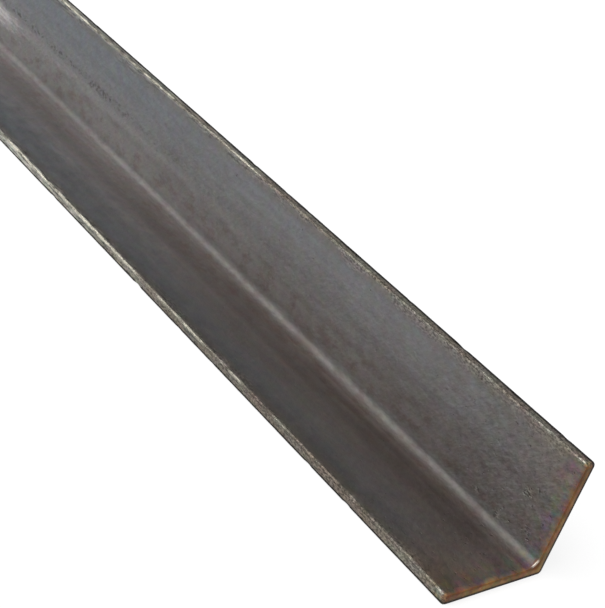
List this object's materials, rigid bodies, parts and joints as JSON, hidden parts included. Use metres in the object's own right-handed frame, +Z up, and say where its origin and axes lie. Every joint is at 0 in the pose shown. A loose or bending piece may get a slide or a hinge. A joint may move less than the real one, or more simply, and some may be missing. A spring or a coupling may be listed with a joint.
{
  "type": "metal angle section",
  "caption": "Equal-leg steel angle stock, hot rolled, with a filleted inside corner and eased toes, cut square at both ends, for frames, brackets and edging.",
  "frame": {"origin": "middle of the footprint, on the floor under the base leg: half the length and half the leg width", "axes": "+X along the length, +Y out of the upright leg's outer face, +Z up the upright leg; the base leg reaches from the heel towards -Y"},
  "size_m": [0.9144, 0.0382, 0.0381],
  "materials": {
    "mill_scale_steel": "dark grey mill scale, as rolled, with bare worn toe edges and rust on the cut ends"
  },
  "bodies": {
    "root": {"steel_angle": "mill_scale_steel"}
  },
  "joints": []
}
